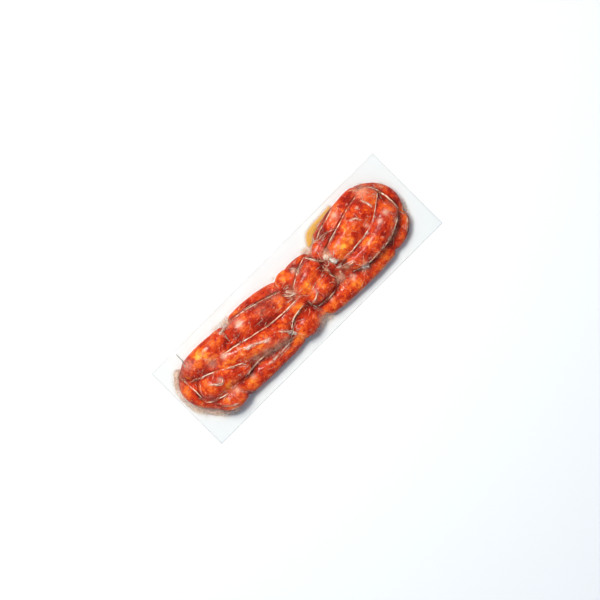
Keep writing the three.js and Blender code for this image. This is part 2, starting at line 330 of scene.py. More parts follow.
# Places where the film is pale and streaky over the meat: x, y, how wide, and how strong.
palePlaces = [
    (-179, 27, 8, 0.5), (-172, 38, 8, 0.5), (-186, 14, 7, 0.4), (-187, 2, 7, 0.35), (-186, -10, 7, 0.4),
    (-179, -20, 8, 0.45), (-170, -31, 8, 0.5), (-159, -39, 7, 0.5), (-147, -44, 6, 0.5), (-85, -16, 5, 0.7),
    (-71, -20, 5, 0.8), (-56, -24, 5, 0.8), (-45, -27, 5, 0.7), (-82, 40, 6, 0.8), (-126, 17, 8, 0.25),
    (55, -20, 6, 0.9), (49, 0, 3, 0.6), (50, 31, 6, 0.8), (2, 8, 8, 0.6), (146, 37, 9, 0.45), (5, -42, 7, 0.9),
    (-41, 19, 8, 0.3), (-20, 20, 10, 0.3), (86, -31, 6, 0.7), (140, -26, 5, 0.6), (-132, -26, 6, 0.5),
    (62, 14, 6, 0.6), (104, -31, 3.5, 0.6), (117, -31, 3.5, 0.5), (129, -29, 3.5, 0.6), (151, -18, 4, 0.6),
    (168, 26, 5, 0.5), (70, -16, 5, 0.6), (24, 22, 5, 0.5),
]
# Places where shade is painted into the meat, in hollows and between links: x, y, how wide, and how strong.
paintedShadePlaces = [
    (-139, 12, 7, 0.9), (-127, 14, 6, 0.9), (-117, 13, 5, 0.7), (-97, 10, 4, 0.5), (4, -14, 3, 1.1),
    (4, -23, 3, 1.2), (4, -32, 3, 1.1), (50, 1, 4, 0.9), (53, -5, 4, 0.9), (21, 27, 5, 0.6), (80, 35, 4, 0.7),
    (112, 17, 10, 0.55), (155, -12, 5, 0.4), (-60, 20, 9, 0.35), (-55, -7, 5, 0.5),
]
# Grooves that the film bridges higher up than elsewhere: x, y, how wide, and how strong.
bridgedGrooves = [(-86, -17, 7, 1), (-77, -19, 7, 1), (-67, -21, 7, 1), (-57, -24, 7, 1), (-47, -27, 6, 1),
                  (55, -20, 7, 1)]
# Where the film comes down beside the links in a milky slope: each a route in plan, and how wide it is.
filmSkirts = [
    ([(-170, 38), (-178, 27), (-183.5, 11), (-184, -4), (-179, -16), (-171, -27), (-160, -36), (-149, -41)], 7),
    ([(-10, -42), (2, -40), (12, -43)], 8),
    ([(-96, 40), (-89, 38), (-82, 40)], 6),
    ([(46, 33), (51, 30), (56, 32)], 6),
    ([(173, -6), (168, -20), (159, -32), (147, -41)], 4),
]
# Gathered casing between links, where it shows: from and to in plan, its radius, how deep its middle lies
# under the plain film as a share of that, whether it is tied, and how bare of meat it is.
casingNecks = {
    "tiedEnd": {"from": (58, 14), "to": (67.5, -3), "radius": 4.2, "sunk": 0.45, "tied": True, "bare": 1.0},
    "frontPinch": {"from": (82, -29), "to": (90, -32), "radius": 2.6, "sunk": 0.6, "tied": False, "bare": 0.8},
    "leftPinch": {"from": (-38, -21), "to": (-29, -29), "radius": 2.4, "sunk": 0.62, "tied": True, "bare": 0.4},
    "waistPinch": {"from": (-5, 15), "to": (4, 5), "radius": 2.0, "sunk": 0.62, "tied": False, "bare": 0.4},
    "backPinch": {"from": (-97, 34), "to": (-87, 37), "radius": 2.0, "sunk": 0.62, "tied": False, "bare": 0.2},
}
# Places where the film bridges a notch beside the links and turns milky: x, y, how wide, and how strong.
bridgedNotches = [(2, -45, 9, 0.9), (-89, 44, 6, 0.7), (50, 36, 6, 0.8), (-4, 36, 4, 0.5), (-170, 38, 8, 0.8),
                  (-180, 24, 8, 0.8), (-176, -20, 9, 0.9), (-164, -36, 9, 0.9), (-187, 4, 9, 0.45),
                  (168, -32, 6, 0.35)]


# Soft round spots over given places, each with its x, y, how wide, and how strong.
def spotsOf(spots, x=placeX, y=placeY):
    amount = np.zeros(x.shape)
    for px, py, wide, strong in spots:
        np.maximum(amount, strong * np.exp(-((x - px) ** 2 + (y - py) ** 2) / wide ** 2), out=amount)
    return amount


# How near each place is to a route in plan, 1 on it and fading over the given width.
def nearRoute(route, width):
    return spotsOf([(px, py, width, 1) for px, py in smoothLine(route, 2.0)])


# How far each place is along a straight stretch, from 0 to 1, and how far off it.
def besideStretch(start, end):
    way = np.array(end, float) - np.array(start, float)
    along = np.clip(((placeX - start[0]) * way[0] + (placeY - start[1]) * way[1]) / (way @ way), 0, 1)
    return along, np.hypot(placeX - start[0] - along * way[0], placeY - start[1] - along * way[1])


# How far the film rises over the necks of casing that it is drawn across.
def neckHumps():
    hump = np.zeros(placeX.shape)
    for neck in casingNecks.values():
        _, off = besideStretch(neck["from"], neck["to"])
        rise = (1 - neck["sunk"]) * neck["radius"] + filmShape["overNeck"]
        hump = np.maximum(hump, rise * np.exp(-(off / (1.4 * neck["radius"])) ** 2))
    return hump


# The white marks, creases and painted highlights, over the grid.
def whiteAndHighlightMarks():
    white = np.zeros(placeX.shape)
    for x0, y0, x1, y1, wide, strong in whiteCreasesAndHighlights:
        along, off = besideStretch((x0, y0), (x1, y1))
        here = wide * (0.3 + 0.7 * np.sin(np.pi * along)) * (1 + 0.5 * lumps(3.5, 2.5, 92))
        white = np.maximum(white, strong * np.exp(-(off / here) ** 2))
    return white * np.clip(0.85 + 0.8 * lumps(2.6, 1.7, 91), 0.1, 1)


# Painted shade beside each fold, on the side where the film falls away from it.
def shadeBesideFolds(folds, heights):
    shade = np.zeros(folds.shape)
    for step, axis in ((-2, 0), (2, 0), (-2, 1), (2, 1)):
        drop = np.roll(heights, step, axis) - heights
        shade = np.maximum(shade, np.roll(folds, step, axis) * np.clip(drop / 1.5, 0, 1))
    return np.clip(shade * 1.2 - 0.6 * folds, 0, 1)


# The heights of both films and of the meat pressed in between the links, and the shares that the film's
# finish reads.
def drawFilms():
    top, bottom = linkHeights()
    along = np.sin(2 * np.pi * (placeX + 0.4 * placeY) / filmShape["rippleLength"])
    across = np.cos(2 * np.pi * (placeY - 0.2 * placeX) / (1.3 * filmShape["rippleLength"]))
    flange = filmShape["flangeRipple"] * (1 + along * across)
    covered = np.isfinite(top)
    hanging = np.where(covered, -bottom, -flange)
    base = np.maximum(-rollBall(hanging, filmShape["baseRadius"], -filmShape["flangeRipple"]), 0)
    sealed = base + pack["sealed"]
    overBase = np.where(covered, np.maximum(top + filmShape["overLinks"], sealed), sealed)
    web = rollBall(overBase, filmShape["webRadius"]) - filmShape["webSag"]
    drawn = soften(np.maximum(rollBall(overBase, filmShape["drawnRadius"]), web), 2)
    drawn = np.maximum(drawn, np.where(covered, top + filmShape["leastOverLinks"], sealed))

    meatTop = np.where(covered, top, 0)
    overall = rollBall(meatTop, coreShape["radius"])
    core = np.minimum(overall - coreShape["sink"], drawn - coreShape["underFilm"])
    cored = core > coreShape["leastHeight"]
    bridge = overall + filmShape["overBridge"] - drawn
    drawn = np.maximum(drawn, drawn + bridge * spotsOf(bridgedGrooves))
    fromEdge = np.minimum(pack["width"] / 2 - np.abs(placeY), pack["length"] / 2 - np.abs(placeX))
    skirt = np.maximum.reduce([nearRoute(route, width) for route, width in filmSkirts])
    skirt = skirt * np.clip((fromEdge - 1) / 3, 0, 1)
    slope = rollBall(overBase, filmShape["skirtRadius"])
    drawn = drawn + np.maximum(slope - drawn, 0) * skirt
    gap = np.where(cored, drawn - np.maximum(core, meatTop), drawn - np.maximum(base, meatTop))
    valley = soften(np.clip((overall - drawn + 1.2) / 5, 0, 1), 2)
    bulge = np.clip((drawn - base - 1.0) / 6, 0, 1)

    folds = foldRidges()
    broadWeb = crumpleWeb(16, 9, 0.9, 11) * np.clip(0.5 + 0.9 * lumps(22, 16, 5), 0, 1)
    fineWeb = crumpleWeb(7, 5, 0.7, 31) * np.clip(0.35 + 0.9 * lumps(14, 12, 6), 0, 1)
    crumple = np.maximum(broadWeb, 0.6 * fineWeb) * bulge
    drawn = drawn + foldShape["rise"] * folds + filmShape["crumpleRise"] * crumple
    oil = np.maximum.reduce([nearRoute(route, oilPool["width"]) for route in oilPool["routes"]])
    drawn = np.maximum(drawn, base + oilPool["height"] * oil)
    oil = oil * np.clip((oilPool["highest"] + 5 * lumps(7, 7, 93) - drawn) / 5, 0, 1)
    plain = drawn
    seal = np.exp(-((fromEdge - filmShape["sealInset"]) / filmShape["sealWidth"]) ** 2) * (1 - bulge)
    drawn = drawn + neckHumps() + filmShape["sealRise"] * seal

    notch = np.maximum(spotsOf(bridgedNotches), skirt)
    streaks = np.maximum(crumpleWeb(11, 3.5, 1.3, 51), crumpleWeb(4, 9, 1.1, 61))
    pale = spotsOf(palePlaces) * np.clip(0.50 + 0.5 * lumps(5, 4, 55) + 0.6 * streaks, 0, 1)
    rim = np.where(cored | covered, 0, np.clip(gap / 2.5, 0, 1)) * np.maximum(notch, 0.06)
    rim = rim * np.clip(0.35 + 0.5 * lumps(6, 5, 57) + 0.6 * streaks, 0.1, 1)
    shares = {"folds": folds, "crumple": crumple, "gap": np.where(cored | covered, gap, 0), "rim": rim,
              "pale": pale * bulge, "oil": oil, "edge": np.exp(-fromEdge / 0.6), "flange": 1 - bulge,
              "white": whiteAndHighlightMarks(), "creased": shadeBesideFolds(folds, plain)}
    return plain, drawn, base, core, cored, valley, shares


plainFilm, drawnFilm, baseFilm, coreTop, coredPlaces, valleys, filmShares = drawFilms()
print("film drawn, highest", round(float(drawnFilm.max()), 1), "mm")


# What a grid, such as the film's height, says at any places.
def gridAt(values, x, y):
    u = np.clip((x - gridX[0]) / cell, 0, grid["columns"] - 1e-6)
    v = np.clip((y - gridY[0]) / (gridY[1] - gridY[0]), 0, grid["rows"] - 1e-6)
    i, j = u.astype(int), v.astype(int)
    fu, fv = u - i, v - j
    low = values[j, i] * (1 - fu) + values[j, i + 1] * fu
    high = values[j + 1, i] * (1 - fu) + values[j + 1, i + 1] * fu
    return low * (1 - fv) + high * fv


# A mesh object at the origin from points in millimetres, smooth and painted where it has faces.
def meshObject(name, points, faces=(), edges=(), material=None):
    mesh = bpy.data.meshes.new(name)
    mesh.from_pydata((np.asarray(points) * mm).tolist(), edges, faces)
    mesh.update()
    if material:
        mesh.polygons.foreach_set("use_smooth", [True] * len(mesh.polygons))
        mesh.materials.append(material)
    piece = bpy.data.objects.new(name, mesh)
    bpy.context.scene.collection.objects.link(piece)
    return piece


def addShares(piece, name, values):
    attribute = piece.data.attributes.new(name, "FLOAT", "POINT")
    attribute.data.foreach_set("value", np.asarray(values, np.float32).ravel())


# Open chains of edges in one mesh. Each chain is a dictionary with its points and any shares along them.
def chainObject(name, chains):
    edges, first = [], 0
    for chain in chains:
        count = len(chain["points"])
        edges += [(first + k, first + k + 1) for k in range(count - 1)]
        first += count
    piece = meshObject(name, np.vstack([chain["points"] for chain in chains]), edges=edges)
    for label in chains[0]:
        if label != "points":
            values = [np.broadcast_to(chain[label], len(chain["points"])) for chain in chains]
            addShares(piece, label, np.concatenate(values))
    return piece


def gridFaces(index, facesUp):
    a, b, c, d = index[:-1, :-1], index[:-1, 1:], index[1:, 1:], index[1:, :-1]
    return np.stack([a, b, c, d] if facesUp else [a, d, c, b], axis=-1).reshape(-1, 4).tolist()


# Both films as one closed sheet, with the base film on every second point of the grid.
def makeFilm(material):
    columns, rows = grid["columns"], grid["rows"]
    coarse = (slice(None, None, 2), slice(None, None, 2))
    points = [np.column_stack([placeX.ravel(), placeY.ravel(), drawnFilm.ravel()]),
              np.column_stack([placeX[coarse].ravel(), placeY[coarse].ravel(), baseFilm[coarse].ravel()])]
    topIndex = np.arange(placeX.size).reshape(placeX.shape)
    baseIndex = placeX.size + np.arange(placeX[coarse].size).reshape(placeX[coarse].shape)
    faces = gridFaces(topIndex, True) + gridFaces(baseIndex, False)
    rim = [(0, i) for i in range(columns)] + [(j, columns) for j in range(rows)]
    rim += [(rows, i) for i in range(columns, 0, -1)] + [(j, 0) for j in range(rows, 0, -1)]
    for n in range(0, len(rim), 2):
        here, half, nextOne = rim[n], rim[n + 1], rim[(n + 2) % len(rim)]
        baseHere, baseNext = (int(baseIndex[j // 2, i // 2]) for j, i in (here, nextOne))
        topHere, topHalf, topNext = (int(topIndex[place]) for place in (here, half, nextOne))
        faces += [(baseHere, baseNext, topHalf), (baseHere, topHalf, topHere), (baseNext, topNext, topHalf)]
    film = meshObject("vacuumFilm", np.vstack(points), faces, material=material)
    for name, values in filmShares.items():
        addShares(film, name, np.concatenate([values.ravel(), np.zeros(baseIndex.size)]))
    return film


# The meat pressed in between the links, a closed mass under the film, clear of the film's steep sides.
def makeCore(material):
    clear = coredPlaces.copy()
    for shift in (-coreShape["clearCells"], coreShape["clearCells"]):
        clear &= np.roll(coredPlaces, shift, 0) & np.roll(coredPlaces, shift, 1)
    step = (slice(None, None, 2), slice(None, None, 2))
    x, y, top, inside = placeX[step], placeY[step], coreTop[step], clear[step]
    low = baseFilm[step] + 0.5
    cells = inside[:-1, :-1] & inside[:-1, 1:] & inside[1:, 1:] & inside[1:, :-1]
    upper = np.arange(x.size).reshape(x.shape)
    lower = upper + x.size
    faces = []
    for j, i in zip(*np.nonzero(cells)):
        ring = [(j, i), (j, i + 1), (j + 1, i + 1), (j + 1, i)]
        faces.append(tuple(int(upper[place]) for place in ring))
        faces.append(tuple(int(lower[place]) for place in reversed(ring)))
        beside = [(j - 1, i), (j, i + 1), (j + 1, i), (j, i - 1)]
        for k, place in enumerate(beside):
            if not cells[place]:
                p, q = ring[k], ring[(k + 1) % 4]
                faces.append((int(upper[q]), int(upper[p]), int(lower[p]), int(lower[q])))
    points = np.vstack([np.column_stack([x.ravel(), y.ravel(), h.ravel()]) for h in (top, low)])
    used = np.unique(np.concatenate([np.array(face) for face in faces]))
    renumber = np.full(len(points), -1)
    renumber[used] = np.arange(len(used))
    faces = [tuple(int(renumber[v]) for v in face) for face in faces]
    return meshObject("pressedMeat", points[used], faces, material=material)


# Ways to add nodes to one tree, with kinds named without Blender's own prefix: outputsOf gives all outputs
# of a new node, add the first one, calc that of a Math node, and share what a mesh's attribute says.
def toolsFor(tree):
    def outputsOf(kind, links=None, **values):
        prefix = next(p for p in ("ShaderNode", "GeometryNode", "Node") if hasattr(bpy.types, p + kind))
        node = tree.nodes.new(prefix + kind)
        for name, value in values.items():
            setattr(node, name, value)
        for socket, source in (links or {}).items():
            if isinstance(source, bpy.types.NodeSocket):
                tree.links.new(source, node.inputs[socket])
            else:
                node.inputs[socket].default_value = source
        return node.outputs

    def add(kind, links=None, **values):
        return outputsOf(kind, links, **values)[0]

    def calc(operation, *sources):
        return add("Math", dict(enumerate(sources)), operation=operation)

    def share(name):
        if tree.bl_idname == "GeometryNodeTree":
            return outputsOf("InputNamedAttribute", {"Name": name}, data_type="FLOAT")["Attribute"]
        return outputsOf("Attribute", attribute_name=name)["Fac"]
    return outputsOf, add, calc, share


# A new geometry tree and its inputs, which are the looks that begin with a capital letter.
def newGeometryTree(name, looks):
    tree = bpy.data.node_groups.new(name, "GeometryNodeTree")
    tree.interface.new_socket("Geometry", in_out="INPUT", socket_type="NodeSocketGeometry")
    for label, value in looks.items():
        if label[0].isupper():
            kind = "NodeSocketInt" if isinstance(value, int) else "NodeSocketFloat"
            tree.interface.new_socket(label, in_out="INPUT", socket_type=kind)
    tree.interface.new_socket("Geometry", in_out="OUTPUT", socket_type="NodeSocketGeometry")
    return tree, toolsFor(tree)[0]("GroupInput")


# Puts Realize Instances and Set Material at the end of a tree.
def endTree(tree, geometry, material):
    outputsOf, add, _, _ = toolsFor(tree)
    smooth = add("SetShadeSmooth", {"Geometry": add("RealizeInstances", {"Geometry": geometry})})
    outputsOf("GroupOutput", {"Geometry": add("SetMaterial", {"Geometry": smooth, "Material": material})})
    return tree


# Runs a tree on an object and keeps the result as its plain mesh.
def runTree(piece, tree, values):
    modifier = piece.modifiers.new(tree.name, "NODES")
    modifier.node_group = tree
    for item in tree.interface.items_tree:
        if item.item_type == "SOCKET" and item.in_out == "INPUT" and item.name in values:
            modifier[item.identifier] = values[item.name]
    bpy.context.view_layer.update()
    evaluated = piece.evaluated_get(bpy.context.evaluated_depsgraph_get())
    made = bpy.data.meshes.new_from_object(evaluated)
    piece.modifiers.remove(modifier)
    piece.data = made
    return piece


# The chains of the input mesh as curves, as thick as their share says.
def thickCurves(tree, source):
    _, add, _, share = toolsFor(tree)
    return add("SetCurveRadius", {"Curve": add("MeshToCurve", {"Mesh": source}), "Radius": share("thick")})


def sweepAlong(tree, curves, profile):
    add = toolsFor(tree)[1]
    return add("CurveToMesh", {"Curve": curves, "Profile Curve": profile, "Fill Caps": True,
                               "Scale": add("InputRadius")})


linkLooks = {
    "Sides": 36,
    "Unevenness": 0.45 * mm,   # how far the casing bulges and dips
    "Lump size": 9 * mm,
    "Pits": 0.14 * mm,
    "Table": 0.35 * mm,        # the lower links are flat this far above the table
    "Squareness": linkShape["squareness"],
    "spacing": 1.3,            # mm between rings
    "inside": 0.6,             # how far the casing stays in from the laid-out link, mm, clear of the film
    "capRings": 11,
}


# The tree that sweeps each link along its centre line, squares and presses it and makes its casing uneven.
def linkTree(material):
    tree, given = newGeometryTree("sweepLinks", linkLooks)
    outputsOf, add, calc, share = toolsFor(tree)
    ring = add("CurvePrimitiveCircle", {"Resolution": given["Sides"], "Radius": 1.0})
    tube = sweepAlong(tree, thickCurves(tree, given["Geometry"]), ring)

    # Height over the centre line becomes that of a superellipse, pressed
    place = add("InputPosition")
    above = calc("SUBTRACT", outputsOf("SeparateXYZ", {0: place})["Z"], share("level"))
    full = share("full")
    power = given["Squareness"]
    offSquared = calc("SUBTRACT", calc("POWER", full, 2.0), calc("POWER", above, 2.0))
    off = calc("SQRT", calc("MAXIMUM", offSquared, 0.0))
    rise = calc("SUBTRACT", calc("POWER", full, power), calc("POWER", off, power))
    lifted = calc("POWER", calc("MAXIMUM", rise, 0.0), calc("DIVIDE", 1.0, power))
    pressed = calc("MULTIPLY", calc("MULTIPLY", lifted, share("press")), calc("SIGN", above))
    shift = add("CombineXYZ", {"Z": calc("SUBTRACT", pressed, above)})
    squared = add("SetPosition", {"Geometry": tube, "Offset": shift})

    size = calc("DIVIDE", 1.0, given["Lump size"])
    seed = share("seed")
    broad = add("TexNoise", {"Scale": size, "W": seed, "Detail": 2.0}, noise_dimensions="4D")
    fine = add("TexNoise", {"Scale": calc("MULTIPLY", size, 3.4), "Detail": 1.0, "W": seed},
               noise_dimensions="4D")
    bulges = calc("MULTIPLY", calc("SUBTRACT", broad, 0.6), given["Unevenness"])
    pits = calc("MULTIPLY", calc("SUBTRACT", fine, 0.5), given["Pits"])
    out = calc("MULTIPLY", calc("ADD", bulges, pits), 2.0)
    push = add("VectorMath", {0: add("InputNormal"), "Scale": out}, operation="SCALE")
    uneven = add("SetPosition", {"Geometry": squared, "Offset": push})

    lie = outputsOf("SeparateXYZ", {0: place})
    onTable = add("CombineXYZ", {"X": lie["X"], "Y": lie["Y"], "Z": calc("MAXIMUM", lie["Z"], given["Table"])})
    lying = add("SetPosition", {"Geometry": uneven, "Position": onTable})
    return endTree(tree, add("MergeByDistance", {"Geometry": lying, "Distance": 0.02 * mm}), material)


# The links' centre lines as chains, each carried on past its ends by its own round caps.
def linkChains():
    chains = []
    rings = linkLooks["capRings"]
    turn = np.linspace(0, 1, rings + 1)[1:] * np.pi / 2
    tips = np.maximum(np.cos(turn), 0.004)
    for number, link in enumerate(linksLaid):
        line, radius = link["line"], link["radius"] - linkLooks["inside"]
        travelled = travelledAlong(line)
        stops = np.linspace(0, travelled[-1], max(3, int(travelled[-1] / linkLooks["spacing"])))
        body = np.column_stack([np.interp(stops, travelled, line[:, k]) for k in range(3)])
        bodyRadius = np.interp(stops, travelled, radius)
        startWay, endWay = body[0] - body[1], body[-1] - body[-2]
        startWay, endWay = startWay / np.linalg.norm(startWay), endWay / np.linalg.norm(endWay)
        startCap = body[0] + np.outer(bodyRadius[0] * np.sin(turn), startWay)
        endCap = body[-1] + np.outer(bodyRadius[-1] * np.sin(turn), endWay)
        thick = np.concatenate([(bodyRadius[0] * tips)[::-1], bodyRadius, bodyRadius[-1] * tips])
        full = np.concatenate([np.full(rings, bodyRadius[0]), bodyRadius, np.full(rings, bodyRadius[-1])])
        chains.append({"points": np.vstack([startCap[::-1], body, endCap]), "thick": thick * mm,
                       "full": full * mm, "level": line[0, 2] * mm, "press": link["press"],
                       "seed": 1.7 * number})
    return chains


def makeLinks(material):
    return runTree(chainObject("sausageLinks", linkChains()), linkTree(material), linkLooks)


# Places where fat shows through the casing: x, y, how wide, and how strong.
fatPatches = [
    (-133, 35, 10, 1.5), (90, 6, 8, 1.3), (79, 4, 7, 0.5), (57, 20, 6, 0.9), (6, 30, 6, 0.7), (32, -10, 7, 0.8),
    (156, 8, 7, 0.7), (-19, 10, 9, 0.6), (111, -12, 10, 0.6), (-34, -38, 8, 0.6), (-112, -35, 7, 0.7),
    (-104, 3, 8, 0.6), (-134, -15, 7, 0.8), (21, -35, 8, 0.5), (-4, -11, 5, 0.9), (-150, -4, 7, 0.4),
    (-60, 40, 8, 0.6), (140, 28, 6, 0.3), (60, -38, 8, 0.4), (-146, -27, 8, 0.6), (21, 2, 6, 0.6),
    (100, 17, 6, 0.3),
]
# Paler marks of suet close under the film, and a few painted highlights: x, y, how wide, and how strong.
suetAndHighlightPatches = [
    (148.5, -2, 3.2, 0.9), (136, -5, 3, 0.8), (102, 39, 4, 0.7), (-111, 13, 3.5, 0.8), (20, 27, 2.6, 1.0),
    (-71, 28, 4.5, 0.9), (63, 10, 4, 1.0), (62, 3, 3, 0.9), (84, -31, 2.6, 0.9), (-104, -29, 3, 0.6),
    (29, -30, 2.4, 0.6), (-128, 17, 5, 0.45), (-150, 36, 6, 0.4), (-129, -27, 3.2, 0.8), (65, -32, 2.2, 0.7),
    (68, -29, 2, 0.6), (-60, -11, 2.6, 0.7), (66, -27, 2.5, 0.5), (145, 36, 6, 0.4), (121, 3, 2.2, 0.7),
    (-135, -4, 3, 0.6),
]


# Gives a piece of meat its fat and suet as shares, and a painted shade: darker in valleys, beside folds and at
# listed places.
def addFat(piece):
    co = np.empty(len(piece.data.vertices) * 3)
    piece.data.vertices.foreach_get("co", co)
    x, y = co.reshape(-1, 3)[:, 0] / mm, co.reshape(-1, 3)[:, 1] / mm
    addShares(piece, "fat", spotsOf(fatPatches, x, y) * np.clip(0.8 + 0.7 * lumps(5, 4, 58, x, y), 0.2, 1.3))
    addShares(piece, "pale", spotsOf(suetAndHighlightPatches, x, y))
    # painted shade: darker along valleys, in a line beside each fold on the side away from the key light, and at
    # the listed places
    shade = 0.9 * gridAt(valleys, x, y) + 0.6 * gridAt(filmShares["folds"], x, y + 1.5 * foldShape["width"])
    addShares(piece, "deep", np.clip(shade + spotsOf(paintedShadePlaces, x, y), 0, 1.3))


pleatLooks = {
    "Sides": 8,
    "Unevenness": 0.25 * mm,
    "thin": 0.17,              # radius of the faintest fold, mm
    "thick": 0.44,             # and how much more a strong one has
    "companions": 3,           # fainter creases beside each fold
    "gathers": 8,              # short wrinkles at each gathering point
    "scattered": 150,          # short wrinkles all over
    "seed": 8,
}
# Where the film gathers at the ends of links, in plan.
gatherPoints = [(-94, -18), (-31, -25), (1, 4), (5, -17), (53, 9), (61, -9), (-167, 40), (85, -30), (-92, 15),
                (161, 22), (-137, -22), (49, -22), (-165, -9), (-8, 20), (145, 40), (60, 33)]


# Evens out heights along a line, so that what lies across a steep side of the film doesn't zigzag.
def evenAlong(heights, window=7):
    wide = np.pad(heights, window // 2, mode="edge")
    return np.convolve(wide, np.ones(window) / window, mode="valid")


# A thin crease, fading at both ends from the middle of its line.
def crease(line, milk, least, endFade):
    fade = np.sin(np.linspace(endFade, np.pi - endFade, len(line)))
    return {"line": line, "radius": pleatLooks["thin"] * (least + milk) * fade + 0.04, "milk": milk}


# Short wrinkles of the film: fans at the gathering points, and others scattered over the links.
def shortWrinkles():
    draw = np.random.RandomState(pleatLooks["seed"])
    starts = []
    for px, py in gatherPoints:
        for _ in range(pleatLooks["gathers"]):
            angle, away = draw.uniform(0, 2 * np.pi), draw.uniform(2, 6)
            start = np.array([px + away * np.cos(angle), py + away * np.sin(angle)])
            starts.append((start, angle + draw.normal(0, 0.25), draw.uniform(4, 11), draw.uniform(0.3, 0.7)))
    for _ in range(pleatLooks["scattered"]):
        start = np.array([draw.uniform(-180, 172), draw.uniform(-46, 47)])
        angle = draw.normal(0.1, 0.35) + (np.pi / 2 if draw.uniform() < 0.2 else 0)
        starts.append((start, angle, draw.uniform(4, 15), draw.uniform(0.2, 0.55)))
    chains = []
    for start, angle, length, milk in starts:
        way = np.array([np.cos(angle), np.sin(angle)])
        side = np.array([-way[1], way[0]])
        bow = draw.uniform(-0.1, 0.1) * length
        line = smoothLine([start, start + way * length / 2 + side * bow, start + way * length], 0.8, 0.2)
        height = gridAt(drawnFilm, line[:, 0], line[:, 1])
        if height.min() >= 8 and np.ptp(height) <= 0.9 * length:
            chains.append(crease(line, milk, 0.45, 0.12))
    return chains


# Fainter creases that run beside each fold for a part of its length.
def companionCreases():
    draw = np.random.RandomState(pleatLooks["seed"] + 1)
    chains = []
    for name, line in foldLines.items():
        way = np.gradient(line, axis=0)
        side = np.column_stack([-way[:, 1], way[:, 0]]) / np.linalg.norm(way, axis=1)[:, None]
        for _ in range(pleatLooks["companions"]):
            count = min(len(line), draw.randint(9, 30))
            first = draw.randint(0, len(line) - count + 1)
            apart = draw.choice((-1, 1)) * np.linspace(draw.uniform(0.7, 2.4), draw.uniform(0.7, 2.4), count)
            part = line[first:first + count] + side[first:first + count] * apart[:, None]
            milk = draw.uniform(0.25, 0.6) * filmFolds[name][0]
            chains.append(crease(part, milk, 0.5, 0.1))
    return chains


# The tree that sweeps a small uneven pleat along each fold.
def pleatTree(material):
    tree, given = newGeometryTree("sweepPleats", pleatLooks)
    _, add, calc, _ = toolsFor(tree)
    ring = add("CurvePrimitiveCircle", {"Resolution": given["Sides"], "Radius": 1.0})
    tube = sweepAlong(tree, thickCurves(tree, given["Geometry"]), ring)
    noise = add("TexNoise", {"Scale": 420.0, "Detail": 2.0})
    push = calc("MULTIPLY", calc("SUBTRACT", noise, 0.5), given["Unevenness"])
    offset = add("VectorMath", {0: add("InputNormal"), "Scale": push}, operation="SCALE")
    return endTree(tree, add("SetPosition", {"Geometry": tube, "Offset": offset}), material)


def makePleats(material):
    chains = []
    for name, line in foldLines.items():
        broad, fine = (lumps(size, size, seed, line[:, 0], line[:, 1]) for size, seed in ((9, 81), (2.6, 82)))
        heft = foldHeft(name) * np.clip(0.72 + 0.95 * broad + 0.5 * fine, 0.05, 1.35)
        milk = heft * (filmFolds[name][2] if len(filmFolds[name]) > 2 else 1)
        chains.append({"line": line, "radius": pleatLooks["thin"] + pleatLooks["thick"] * heft,
                       "milk": np.clip(0.05 + 0.9 * milk, 0, 1)})
    laid = []
    for chain in chains + companionCreases() + shortWrinkles():
        height = evenAlong(gridAt(drawnFilm, chain["line"][:, 0], chain["line"][:, 1]))
        laid.append({"points": np.column_stack([chain["line"], height]), "thick": chain["radius"] * mm,
                     "milk": chain["milk"]})
    return runTree(chainObject("filmPleats", laid), pleatTree(material), pleatLooks)


# Both are twisted, by so many radians a metre.
neckLooks = {"Sides": 30, "Lobes": 6, "Lobe depth": 0.22, "Twist": 260.0, "flare": 0.7, "steps": 24}
twineLooks = {"Sides": 12, "Lobes": 3, "Lobe depth": 0.25, "Twist": 1400.0, "radius": 0.42, "turns": 2.3,
              "tail": 6}
strayThread = [(-153, 36), (-152.2, 43), (-152.6, 50), (-152, 55.5)]     # a loose end held by the film


# The tree that sweeps a lobed profile along a chain and twists it, for gathered casing and for twine.
def twistTree(name, looks, material):
    tree, given = newGeometryTree(name, looks)
    outputsOf, add, calc, _ = toolsFor(tree)
    circle = add("CurvePrimitiveCircle", {"Resolution": given["Sides"], "Radius": 1.0})
    at = add("InputPosition")
    flat = outputsOf("SeparateXYZ", {0: at})
    wave = calc("COSINE", calc("MULTIPLY", calc("ARCTAN2", flat["Y"], flat["X"]), given["Lobes"]))
    out = calc("MULTIPLY_ADD", wave, given["Lobe depth"], 1.0)
    lobed = add("VectorMath", {0: at, "Scale": out}, operation="SCALE")
    profile = add("SetPosition", {"Geometry": circle, "Position": lobed})
    tilt = calc("MULTIPLY", outputsOf("SplineParameter")["Length"], given["Twist"])
    twisted = add("SetCurveTilt", {"Curve": thickCurves(tree, given["Geometry"]), "Tilt": tilt})
    return endTree(tree, sweepAlong(tree, twisted, profile), material)


# A neck's middle line just under the film.
def neckLine(neck):
    t = np.linspace(0, 1, neckLooks["steps"] + 1)
    start, end = np.array(neck["from"], float), np.array(neck["to"], float)
    plan = start + t[:, None] * (end - start)
    side = np.array([start[1] - end[1], end[0] - start[0]]) / np.linalg.norm(end - start)
    plan = plan + 0.6 * np.sin(2 * np.pi * t)[:, None] * side
    height = evenAlong(gridAt(plainFilm, plan[:, 0], plan[:, 1])) - neck["sunk"] * neck["radius"]
    return np.column_stack([plan, height])


def makeNecks(material):
    t = np.linspace(0, 1, neckLooks["steps"] + 1)
    waist = 1 + neckLooks["flare"] * (np.abs(2 * t - 1) ** 2.5 - 0.45)
    closing = np.minimum(1, np.sin(np.pi * np.clip(t, 0.02, 0.98)) * 2.2)
    chains = [{"points": neckLine(neck), "thick": neck["radius"] * waist * closing * mm, "bare": neck["bare"]}
              for neck in casingNecks.values()]
    tree = twistTree("twistCasing", neckLooks, material)
    return runTree(chainObject("casingNecks", chains), tree, neckLooks)


